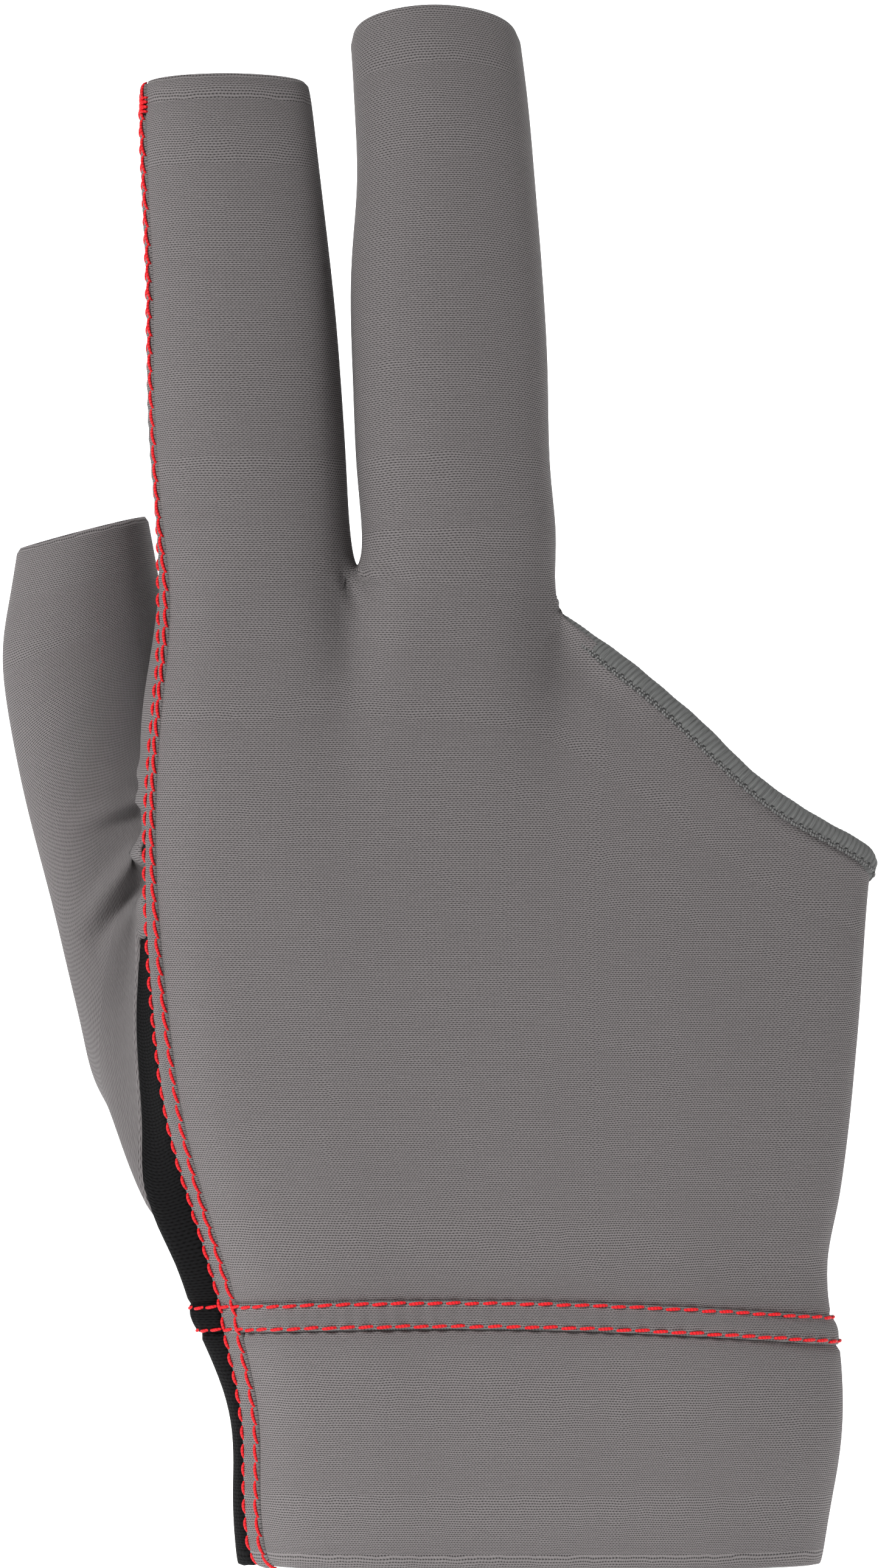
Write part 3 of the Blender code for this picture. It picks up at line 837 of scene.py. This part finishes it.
# How far a loop overlaps the next one, opens and arches, and its threads' side and lift
CHAIN_OVERLAP = 1.12
CHAIN_OPENING = 0.00022
CHAIN_ARCH = 0.00012
CHAIN_THREADS = ((1, 0.00016), (-1, 0.00005))
# How much slimmer the binding is at the middle sleeve's root, and how far that reaches
FORK_SLIMMING = 0.75
FORK_REACH = 0.0055


class Rim:
    """The opening's edge: even places along it with their inward and outward directions."""

    def __init__(self, surface, loop, fork):
        closed = np.array(loop + loop[:1])
        inward = inward_of(surface, closed[:-1], closed[1:])
        inward = unit(inward + np.roll(inward, 1, axis=0))
        inward = np.concatenate([inward, inward[:1]])
        points = surface.points[closed]
        normals = surface.normals[closed]
        distance = np.array(walk(points))
        count = int(distance[-1] * TO_MM * BINDING_RINGS_PER_MM)
        self.stops = np.linspace(0, distance[-1], count, endpoint=False)
        self.length = distance[-1]
        self.places = read_along(self.stops, distance, points)
        self.inward = unit(read_along(self.stops, distance, inward))
        normals = read_along(self.stops, distance, normals)
        normals -= self.inward * np.sum(normals * self.inward, axis=1, keepdims=True)
        self.normals = unit(normals)
        away = np.linalg.norm(self.places - surface.points[fork], axis=1)
        self.slim = 1 - FORK_SLIMMING * np.exp(-(away / FORK_REACH) ** 2)


def binding_piece(rim, material):
    """The rolled edge with its overlock thread as low ridges."""
    count = len(rim.stops)
    turns = np.arange(BINDING_SIDES) * 2 * math.pi / BINDING_SIDES
    slim = rim.slim[:, None]
    centre = rim.places + rim.inward * BINDING_HEIGHT / 2 * slim - rim.normals * CLOTH / 2
    run = rim.stops * TO_MM
    phase = (run[:, None] / BINDING_WRAP_PITCH
             + turns[None, :] / (2 * math.pi) * BINDING_WRAP_LEAN)
    ridge = np.abs(np.sin(phase * math.pi)) * BINDING_WRAP_HEIGHT
    ridge += FINE_WAVE * np.sin(run[:, None] * FINE_RATE + turns[None, :] * 2)
    ridge += SLOW_WAVE * np.sin(run[:, None] * SLOW_RATE + 1.0)
    high = BINDING_HEIGHT / 2 * slim + ridge
    thick = BINDING_THICKNESS / 2 * slim + ridge
    points = (centre[:, None]
              + rim.inward[:, None] * (np.cos(turns)[None, :] * high)[:, :, None]
              + rim.normals[:, None] * (np.sin(turns)[None, :] * thick)[:, :, None])
    ring = np.arange(count)[:, None]
    side = np.arange(BINDING_SIDES)
    run = np.append(run, rim.length * TO_MM)
    faces = []
    weave = []
    for ahead, beside in ((0, 0), (0, 1), (1, 1), (1, 0)):
        faces.append((ring + ahead) % count * BINDING_SIDES + (side + beside) % BINDING_SIDES)
        places = np.broadcast_arrays((side + beside) / BINDING_SIDES, run[ring + ahead])
        weave.append(np.stack(places, axis=-1))
    faces = np.stack(faces, axis=-1).reshape(-1, 4)
    return add_piece("opening_edge", points.reshape(-1, 3), faces, material,
                     np.stack(weave, axis=2))


def chain_piece(rim, material):
    """The overlock's chain of loops along the inner edge of the binding."""
    threads = Threads()
    step = int(CHAIN_PITCH * TO_MM * BINDING_RINGS_PER_MM)
    turn = math.radians(CHAIN_ANGLE)
    slim = rim.slim[:, None]
    seat = (rim.places + rim.inward * BINDING_HEIGHT / 2 * (1 + math.cos(turn)) * slim
            + rim.normals * (BINDING_THICKNESS / 2 * math.sin(turn) * slim - CLOTH / 2))
    share = np.linspace(0, 1, CHAIN_RINGS)
    radii = taper(share, CHAIN_RADIUS, CHAIN_END)
    for index in range(0, len(rim.stops) - step, step):
        start, end = seat[index], seat[index + step]
        normal, inward = rim.normals[index], rim.inward[index]
        for lean, lift in CHAIN_THREADS:
            centres = (start + np.outer(share * CHAIN_OVERLAP, end - start)
                       + np.outer(arch(share) * CHAIN_OPENING * lean, inward)
                       + np.outer(arch(share) * CHAIN_ARCH + lift, normal))
            threads.add(centres, np.tile(normal, (CHAIN_RINGS, 1)), radii, CHAIN_SIDES)
    return threads.piece("opening_chain", material)


def set_inputs(node, values):
    """Give a node's inputs plain values, by their names."""
    for name, value in values.items():
        node.inputs[name].default_value = value


def add_node(tree, kind, values=None):
    """A node, with plain values for its inputs where it has some."""
    node = tree.nodes.new("ShaderNode" + kind)
    set_inputs(node, values or {})
    return node


def new_material(name, values):
    """A material with a Principled shader that has some plain values."""
    material = bpy.data.materials.new(name)
    material.use_nodes = True
    shader = material.node_tree.nodes["Principled BSDF"]
    set_inputs(shader, values)
    return material, material.node_tree, shader


def number(tree, operation, first, second=None, third=None):
    """A Math node over sockets or plain numbers, and its result."""
    node = add_node(tree, "Math")
    node.operation = operation
    for index, value in enumerate((first, second, third)):
        if value is None:
            continue
        if isinstance(value, (int, float)):
            node.inputs[index].default_value = value
        else:
            tree.links.new(value, node.inputs[index])
    return node.outputs[0]


def half_wave(tree, value):
    """The sine of a value's half turns."""
    return number(tree, "SINE", number(tree, "MULTIPLY", value, math.pi))


def split_axes(tree, vector):
    """A vector's X and Y."""
    node = add_node(tree, "SeparateXYZ")
    tree.links.new(vector, node.inputs[0])
    return node.outputs["X"], node.outputs["Y"]


def noise(tree, vector, scale, detail, roughness=0.5):
    """A noise texture's value."""
    node = add_node(tree, "TexNoise",
                    {"Scale": scale, "Detail": detail, "Roughness": roughness})
    tree.links.new(vector, node.inputs["Vector"])
    return node.outputs["Fac"]


# The knit: how its lines drift, the lean and the height of the stitches' legs, the depth
# of the gaps between legs and between rows (the weight of the painted shade and the
# roughness in them), and the yarn's mottle. A noise is given as its scale and its detail.
DRIFT_NOISE = (0.22, 2)
DRIFT_REACH = 0.5
LEG_LEAN = 1.2
ROW_ROUNDING = 0.75
LEG_HEIGHT = 0.45
GAP_DEPTH = 1.3
VALLEY_DEPTH = 0.45
GAP_ALONE = 0.10
MOTTLE_NOISE = (1.9, 4)
MOTTLE_SPREAD = 0.18
KNIT_SOCKETS = (("Weave", "INPUT", "Vector"), ("Course", "INPUT", "Float"),
                ("Wale", "INPUT", "Float"), ("Height", "OUTPUT", "Float"),
                ("Groove", "OUTPUT", "Float"), ("Mottle", "OUTPUT", "Float"))


def knit_group():
    """Knit cloth from weave coordinates in millimetres: its height, grooves (where shade is
    painted) and mottle.
    """
    tree = bpy.data.node_groups.new("knit", "ShaderNodeTree")
    for name, direction, kind in KNIT_SOCKETS:
        tree.interface.new_socket(name=name, in_out=direction,
                                  socket_type="NodeSocket" + kind)
    entry = tree.nodes.new("NodeGroupInput")
    leave = tree.nodes.new("NodeGroupOutput")
    drift = noise(tree, entry.outputs["Weave"], *DRIFT_NOISE)
    sway = number(tree, "MULTIPLY_ADD", drift, DRIFT_REACH, -DRIFT_REACH / 2)
    across, up = split_axes(tree, entry.outputs["Weave"])
    level = number(tree, "DIVIDE", number(tree, "ADD", up, sway), entry.outputs["Course"])
    row = number(tree, "FRACT", number(tree, "MULTIPLY", level, 2.0))
    round_row = number(tree, "POWER", half_wave(tree, row), ROW_ROUNDING)
    course = number(tree, "FRACT", level)
    lean = number(tree, "ABSOLUTE", number(tree, "SUBTRACT", course, 0.5))
    wale = number(tree, "DIVIDE", number(tree, "ADD", across, sway), entry.outputs["Wale"])
    stitch = number(tree, "FRACT", number(tree, "MULTIPLY_ADD", lean, LEG_LEAN, wale))
    leg = half_wave(tree, stitch)
    leg_height = number(tree, "MULTIPLY_ADD", leg, LEG_HEIGHT, 1 - LEG_HEIGHT)
    height = number(tree, "MULTIPLY", round_row, leg_height)
    # The grooves: a mask for painted shade in the valleys between rows and the gaps between
    # legs
    valley = number(tree, "SUBTRACT", 1.0, round_row)
    gap = number(tree, "SUBTRACT", 1.0, leg)
    deep = number(tree, "MULTIPLY_ADD", gap, GAP_DEPTH, VALLEY_DEPTH)
    groove = number(tree, "MULTIPLY_ADD", valley, deep,
                    number(tree, "MULTIPLY", gap, GAP_ALONE))
    mottle = noise(tree, entry.outputs["Weave"], *MOTTLE_NOISE)
    for name, value in (("Height", height), ("Groove", groove), ("Mottle", mottle)):
        tree.links.new(value, leave.inputs[name])
    return tree


def color_mix(tree, factor, first, second):
    """A colour between two colours or sockets, by a factor."""
    node = add_node(tree, "Mix")
    node.data_type = "RGBA"
    tree.links.new(factor, node.inputs["Factor"])
    for socket, value in ((node.inputs["A"], first), (node.inputs["B"], second)):
        if isinstance(value, tuple):
            socket.default_value = (*value, 1)
        else:
            tree.links.new(value, socket)
    return node.outputs["Result"]


def weave_coordinates(tree):
    """The piece's weave coordinates."""
    node = add_node(tree, "UVMap")
    node.uv_map = "weave"
    return node.outputs["UV"]


def add_bump(tree, shader, height, strength, distance):
    """Relief on a shader's normal."""
    bump = add_node(tree, "Bump", {"Strength": strength, "Distance": distance})
    tree.links.new(height, bump.inputs["Height"])
    tree.links.new(bump.outputs["Normal"], shader.inputs["Normal"])


# Relief by bump, as its strength and its distance in metres
KNIT_BUMP = (0.8, 0.00010)
THREAD_BUMP = (0.6, 0.0001)
BINDING_BUMP = (0.8, 0.0002)
# The cloth's roughness on its rows, and how much rougher its grooves are
KNIT_ROUGHNESS = 0.8
GROOVE_ROUGHNESS = 0.12
# How many turns the thread's plies make for a millimetre
THREAD_TWIST = 2.4
# The binding's fibres: how their noise runs around it, slants and runs along it
FIBRE_AROUND = 2.2
FIBRE_SLANT = 2.0
FIBRE_RUN = 3.4
FIBRE_NOISE = (1.6, 6, 0.7)
# How much painted highlight the crowns of the binding's turns add, and how much tone its fibres
# add, to a base
TURN_PAINTED_HIGHLIGHT = 0.35
FIBRE_LIGHT = 1.5
FIBRE_BASE = -0.45
# The painted shadow in the chain's gaps: half their run, their place around it and half their
# width
HOLE_RUN = 0.16
HOLE_PLACE = 0.135
HOLE_WIDTH = 0.035


def knit_material(name, knit, light, dark, course, wale, sheen, gloss):
    """Knit cloth in one yarn, with painted shade in its grooves."""
    material, tree, shader = new_material(name, {
        "Sheen Weight": sheen, "Sheen Roughness": 0.5, "Specular IOR Level": gloss})
    group = tree.nodes.new("ShaderNodeGroup")
    group.node_tree = knit
    set_inputs(group, {"Course": course, "Wale": wale})
    tree.links.new(weave_coordinates(tree), group.inputs["Weave"])
    dim, bright = (tuple(part * (1 + change) for part in light)
                   for change in (-MOTTLE_SPREAD, MOTTLE_SPREAD))
    yarn = color_mix(tree, group.outputs["Mottle"], dim, bright)
    # Painted shade: the yarn runs towards the dark colour in the knit's grooves
    cloth = color_mix(tree, group.outputs["Groove"], yarn, dark)
    tree.links.new(cloth, shader.inputs["Base Color"])
    rough = number(tree, "MULTIPLY_ADD", group.outputs["Groove"], GROOVE_ROUGHNESS,
                   KNIT_ROUGHNESS)
    tree.links.new(rough, shader.inputs["Roughness"])
    add_bump(tree, shader, group.outputs["Height"], *KNIT_BUMP)
    return material


def thread_material(name, light, dark):
    """Twisted sewing thread, with painted shade between its plies."""
    material, tree, shader = new_material(name, {"Roughness": 0.6, "Specular IOR Level": 0.3})
    around, run = split_axes(tree, weave_coordinates(tree))
    twist = number(tree, "MULTIPLY_ADD", run, THREAD_TWIST, around)
    ply = number(tree, "ABSOLUTE", half_wave(tree, twist))
    # Painted shade: the colour runs dark in the grooves between the plies
    tree.links.new(color_mix(tree, ply, dark, light), shader.inputs["Base Color"])
    add_bump(tree, shader, ply, *THREAD_BUMP)
    return material


def binding_material(name, light, dark):
    """Fuzzy overlock thread of the rolled edge: painted highlight on its turns, painted shadow
    in its chain's gaps.
    """
    material, tree, shader = new_material(name, {"Roughness": 0.8, "Sheen Weight": 0.15})
    around, run = split_axes(tree, weave_coordinates(tree))
    turns = number(tree, "MULTIPLY_ADD", around, BINDING_WRAP_LEAN,
                   number(tree, "DIVIDE", run, BINDING_WRAP_PITCH))
    ridge = number(tree, "ABSOLUTE", half_wave(tree, turns))
    joined = add_node(tree, "CombineXYZ")
    tree.links.new(number(tree, "MULTIPLY", around, FIBRE_AROUND), joined.inputs["X"])
    tree.links.new(number(tree, "MULTIPLY_ADD", around, FIBRE_SLANT,
                          number(tree, "MULTIPLY", run, FIBRE_RUN)), joined.inputs["Y"])
    fibre = noise(tree, joined.outputs[0], *FIBRE_NOISE)
    # Painted highlight on the crowns of the turns and painted shade between them, over the
    # fibres' own tone
    shade = number(tree, "MULTIPLY_ADD", ridge, TURN_PAINTED_HIGHLIGHT,
                   number(tree, "MULTIPLY_ADD", fibre, FIBRE_LIGHT, FIBRE_BASE))
    # Painted shadow: dark spots in the gaps of the chain
    gap_along = number(tree, "PINGPONG", number(tree, "DIVIDE", run, CHAIN_PITCH * TO_MM), 0.5)
    gap_across = number(tree, "ABSOLUTE", number(tree, "SUBTRACT", around, HOLE_PLACE))
    painted_hole_shadow = number(tree, "MULTIPLY", number(tree, "LESS_THAN", gap_along, HOLE_RUN),
                  number(tree, "LESS_THAN", gap_across, HOLE_WIDTH))
    shade = number(tree, "MULTIPLY", shade, number(tree, "SUBTRACT", 1.0, painted_hole_shadow))
    tree.links.new(color_mix(tree, shade, dark, light), shader.inputs["Base Color"])
    add_bump(tree, shader, shade, *BINDING_BUMP)
    return material


# Linear colours of yarns and threads: their own colour on their rows, and the dark colour of
# the painted shade in their grooves
GREY_LIGHT = (0.205, 0.190, 0.190)
GREY_GROOVE_SHADE = (0.022, 0.019, 0.020)
BLACK_LIGHT = (0.0055, 0.0055, 0.006)
BLACK_GROOVE_SHADE = (0.0006, 0.0006, 0.0006)
RED_LIGHT = (0.90, 0.008, 0.016)
RED_PLY_SHADE = (0.45, 0.003, 0.006)
BINDING_LIGHT = (0.20, 0.205, 0.20)
BINDING_DARK_TONE_AND_SHADE = (0.020, 0.020, 0.020)
CHAIN_LIGHT = (0.20, 0.20, 0.197)
# Each yarn: its colours, millimetres of a course and a wale, its sheen and its gloss
YARNS = {
    "grey": (GREY_LIGHT, GREY_GROOVE_SHADE, 0.57, 0.49, 0.06, 0.25),
    "black": (BLACK_LIGHT, BLACK_GROOVE_SHADE, 0.9, 0.9, 0.0, 0.08),
}


def dress_glove():
    """Build every visible piece of the glove."""
    knit = knit_group()
    yarns = {name: knit_material(name + "_knit", knit, *values)
             for name, values in YARNS.items()}
    red = thread_material("red_thread", RED_LIGHT, RED_PLY_SHADE)
    grey_thread = thread_material("grey_thread", CHAIN_LIGHT, BINDING_DARK_TONE_AND_SHADE)
    cage, side_point, fork_point = glove_cage()
    surfaces = smooth_surfaces(cage, (3, 4))
    rims = {level: edge_loop(*boundary_edges(surface.quads), side_point)
            for level, surface in surfaces.items()}
    for panel, name in enumerate(PANELS):
        wall, level, yarn = PANELS[name]
        points, faces, weave = panel_wall(surfaces[level], panel, rims[level], wall)
        piece = add_piece(name + "_cloth", points, faces, yarns[yarn], weave)
        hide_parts(name)
    side_stitches(surfaces[4], red)
    cuff_stitches(surfaces[4], red)
    rim = Rim(surfaces[4], rims[4], fork_point)
    edge = binding_piece(rim, binding_material("binding_thread", BINDING_LIGHT, BINDING_DARK_TONE_AND_SHADE))
    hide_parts("opening_binding")
    chain_piece(rim, grey_thread)


def add_camera():
    """A long lens, level with the glove, with the photograph's frame."""
    frame_height = PHOTO_HEIGHT / PIXELS_PER_MM / TO_MM
    distance = frame_height * LENS / SENSOR
    middle_x = (PHOTO_WIDTH / 2 - ORIGIN_PIXEL[0]) / PIXELS_PER_MM / TO_MM
    middle_z = (ORIGIN_PIXEL[1] - PHOTO_HEIGHT / 2) / PIXELS_PER_MM / TO_MM
    data = bpy.data.cameras.new("camera")
    data.lens = LENS
    data.sensor_width = SENSOR
    data.clip_end = 50
    camera = add_object("camera", data)
    camera.location = (middle_x, -distance, middle_z)
    camera.rotation_euler = (math.pi / 2, 0, 0)
    bpy.context.scene.camera = camera


def add_light(lamp):
    """A soft square lamp that faces the glove."""
    data = bpy.data.lights.new(lamp.name, "AREA")
    data.size = lamp.size
    data.energy = lamp.power
    thing = add_object(lamp.name, data)
    thing.location = lamp.place
    aim = np.array(LAMP_TARGET) - np.array(lamp.place)
    level = math.hypot(aim[0], aim[1])
    thing.rotation_euler = (math.pi / 2 + math.atan2(aim[2], level), 0,
                            math.atan2(aim[1], aim[0]) - math.pi / 2)


# The studio: the floor's height, its front and back edges, its half width, the cove's
# radius and the backdrop's top, in metres
FLOOR_Z = -0.06
FLOOR_FRONT = -0.25
FLOOR_BACK = 1.2
FLOOR_HALF_WIDTH = 1.6
COVE_RADIUS = 0.5
COVE_STEPS = 16
BACKDROP_TOP = 1.6
BACKDROP_GLOW = 1.0
# The room's light in front and behind, and the Y of its direction where it fades
WORLD_FRONT = 0.04
WORLD_BACK = 1.0
WORLD_FADE_START = 0.80
WORLD_FADE_END = 0.95
# The lamps: sizes and places in metres, and power in watts
Lamp = namedtuple("Lamp", "name place size power")
LAMPS = [
    Lamp("key", (-1.1, -1.2, 1.1), 0.7, 43.0),
    Lamp("fill", (0.0, -1.9, 0.1), 0.5, 1.2),
    Lamp("side", (1.6, -0.12, 0.35), 0.5, 11.0),
]
LAMP_TARGET = (-0.014, 0, 0.107)


def add_backdrop():
    """A white floor that curves up into a backdrop behind the glove."""
    turns = np.linspace(0, math.pi / 2, COVE_STEPS)
    profile = [(FLOOR_FRONT, FLOOR_Z)]
    profile += [(FLOOR_BACK + COVE_RADIUS * math.sin(turn),
                 FLOOR_Z + COVE_RADIUS * (1 - math.cos(turn))) for turn in turns]
    profile.append((FLOOR_BACK + COVE_RADIUS, BACKDROP_TOP))
    points = [(side * FLOOR_HALF_WIDTH, y, z) for y, z in profile for side in (-1, 1)]
    faces = [(2 * index, 2 * index + 1, 2 * index + 3, 2 * index + 2)
             for index in range(len(profile) - 1)]
    mesh = bpy.data.meshes.new("backdrop")
    mesh.from_pydata(points, [], faces)
    mesh.polygons.foreach_set("use_smooth", [True] * len(faces))
    backdrop = add_object("backdrop", mesh)
    material, _, _ = new_material("white_backdrop", {
        "Base Color": (0.9, 0.9, 0.9, 1), "Roughness": 0.9,
        "Emission Color": (1, 1, 1, 1), "Emission Strength": BACKDROP_GLOW})
    mesh.materials.append(material)


def add_world():
    """A white room behind the glove and a dim one in front of it."""
    world = bpy.data.worlds.new("studio")
    world.use_nodes = True
    tree = world.node_tree
    coordinates = add_node(tree, "TexCoord")
    _, backward = split_axes(tree, coordinates.outputs["Generated"])
    blend = add_node(tree, "MapRange", {
        "From Min": WORLD_FADE_START, "From Max": WORLD_FADE_END,
        "To Min": WORLD_FRONT, "To Max": WORLD_BACK})
    tree.links.new(backward, blend.inputs["Value"])
    background = tree.nodes["Background"]
    set_inputs(background, {"Color": (1, 1, 1, 1)})
    tree.links.new(blend.outputs["Result"], background.inputs["Strength"])
    bpy.context.scene.world = world
    bpy.context.scene.view_settings.view_transform = "Standard"


def add_studio():
    """The backdrop, the room's light and the lamps."""
    add_backdrop()
    add_world()
    for lamp in LAMPS:
        add_light(lamp)


dress_glove()
add_camera()
add_studio()
